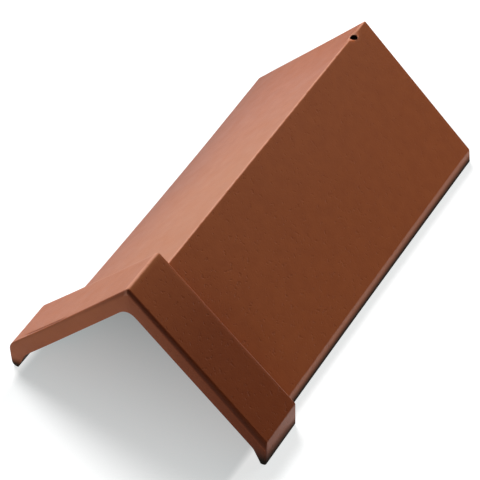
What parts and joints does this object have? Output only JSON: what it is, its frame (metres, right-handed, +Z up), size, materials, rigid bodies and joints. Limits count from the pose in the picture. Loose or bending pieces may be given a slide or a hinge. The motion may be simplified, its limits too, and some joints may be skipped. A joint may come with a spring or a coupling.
{
  "type": "ridge tile",
  "caption": "Angle ridge tile of fired clay: flat wings at right angles, a thick lapping collar with down-turned lips at the front end and a nail hole through the ridge near the tail.",
  "frame": {"origin": "on the plane that the feet rest on, under the middle of the tile's box", "axes": "+Y along the ridge from the collar to the tail, +Z up, +X to the right seen from the collar end"},
  "size_m": [0.263, 0.45, 0.1568],
  "materials": {
    "clay": "smooth matt red-brown clay with a slight sheen"
  },
  "bodies": {
    "root": {"ridge_tile": "clay"}
  },
  "joints": []
}
